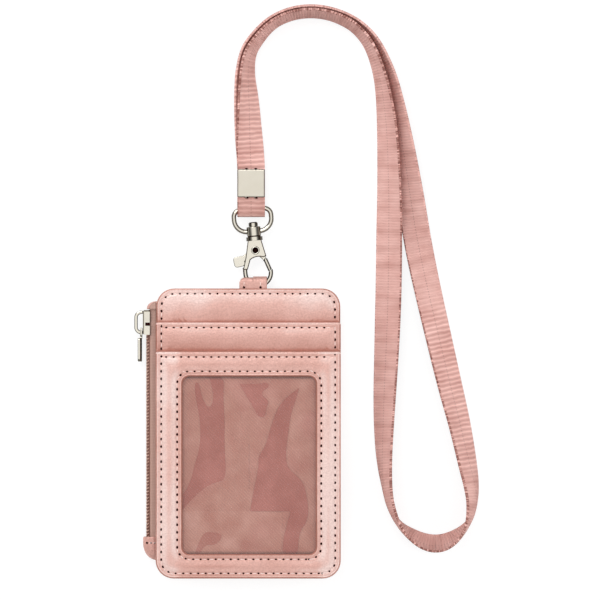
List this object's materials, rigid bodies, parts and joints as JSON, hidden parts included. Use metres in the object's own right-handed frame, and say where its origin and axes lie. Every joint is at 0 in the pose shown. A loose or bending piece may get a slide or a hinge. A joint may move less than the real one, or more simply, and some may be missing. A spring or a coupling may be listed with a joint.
{
  "type": "id badge wallet with lanyard",
  "caption": "Leather badge wallet with a clear card window, card slots and a side zip pocket, hung by a swivel trigger hook from a crimped webbing neck lanyard.",
  "frame": {"origin": "middle of the flat back, where the wallet lies on a table", "axes": "+X right and +Y towards the lanyard, seen from the front; +Z out of the window; the zip faces -X"},
  "size_m": [0.1376, 0.2291, 0.0113],
  "materials": {
    "leather": "soft grained pink leather",
    "lining": "twill lining cloth",
    "film": "clear soft film",
    "webbing": "ribbed webbing",
    "zip_tape": "woven tape",
    "zip_teeth": "moulded teeth",
    "nickel": "polished warm nickel plate",
    "crimp": "satin cream plate"
  },
  "bodies": {
    "lanyard": {"crimp_plate": "crimp", "lanyard_strap": "webbing"},
    "ring": {"swivel_ring": "nickel"},
    "hook": {"hook_body": "nickel", "gate_rivet": "nickel", "gate_spring": "nickel"},
    "gate": {"gate_lever": "nickel"},
    "wallet": {"back_panel": "leather", "pocket_divider": "lining", "base_panel": "leather", "slot_strip": "leather", "slot_lining": "lining", "window_panel": "leather", "window_film": "film", "hanger_loop": "leather", "zip_tape_front": "zip_tape", "zip_tape_back": "zip_tape", "zip_teeth_front": "zip_teeth", "zip_teeth_back": "zip_teeth", "zip_end_upper": "leather", "zip_end_lower": "leather"},
    "slider": {"slider_body": "nickel", "slider_bail": "nickel"},
    "pull": {"zip_pull": "nickel"}
  },
  "joints": [
    {"name": "ring_hinge", "type": "hinge", "parent": "lanyard", "child": "ring", "pos_m": [0.0014, 0.08948, 0.0034], "axis": [0.9962, 0.0872, 0], "range_deg": [-90, 90]},
    {"name": "ring_swivel", "type": "hinge", "parent": "ring", "child": "hook", "pos_m": [0.00284, 0.07304, 0.0034], "axis": [-0.0872, 0.9962, 0], "range_deg": [-150, 150]},
    {"name": "hook_swing", "type": "hinge", "parent": "hook", "child": "wallet", "pos_m": [0.00392, 0.059, 0.0034], "axis": [1, 0, 0], "range_deg": [-90, 90], "deforming": ["hanger_loop"]},
    {"name": "gate_pivot", "type": "hinge", "parent": "hook", "child": "gate", "pos_m": [0.00284, 0.07304, 0.0034], "axis": [0, 0, 1], "range_deg": [-18, 0], "stiffness_Nm_per_rad": 0.02, "springref_deg": 11.46, "deforming": ["gate_spring"]},
    {"name": "zip_slide", "type": "slide", "parent": "wallet", "child": "slider", "axis": [0, -1, 0], "range_m": [0, 0.079]},
    {"name": "pull_hinge", "type": "hinge", "parent": "slider", "child": "pull", "pos_m": [-0.04275, 0.0423, 0.0034], "axis": [0, 0, -1], "range_deg": [0, 90]}
  ]
}
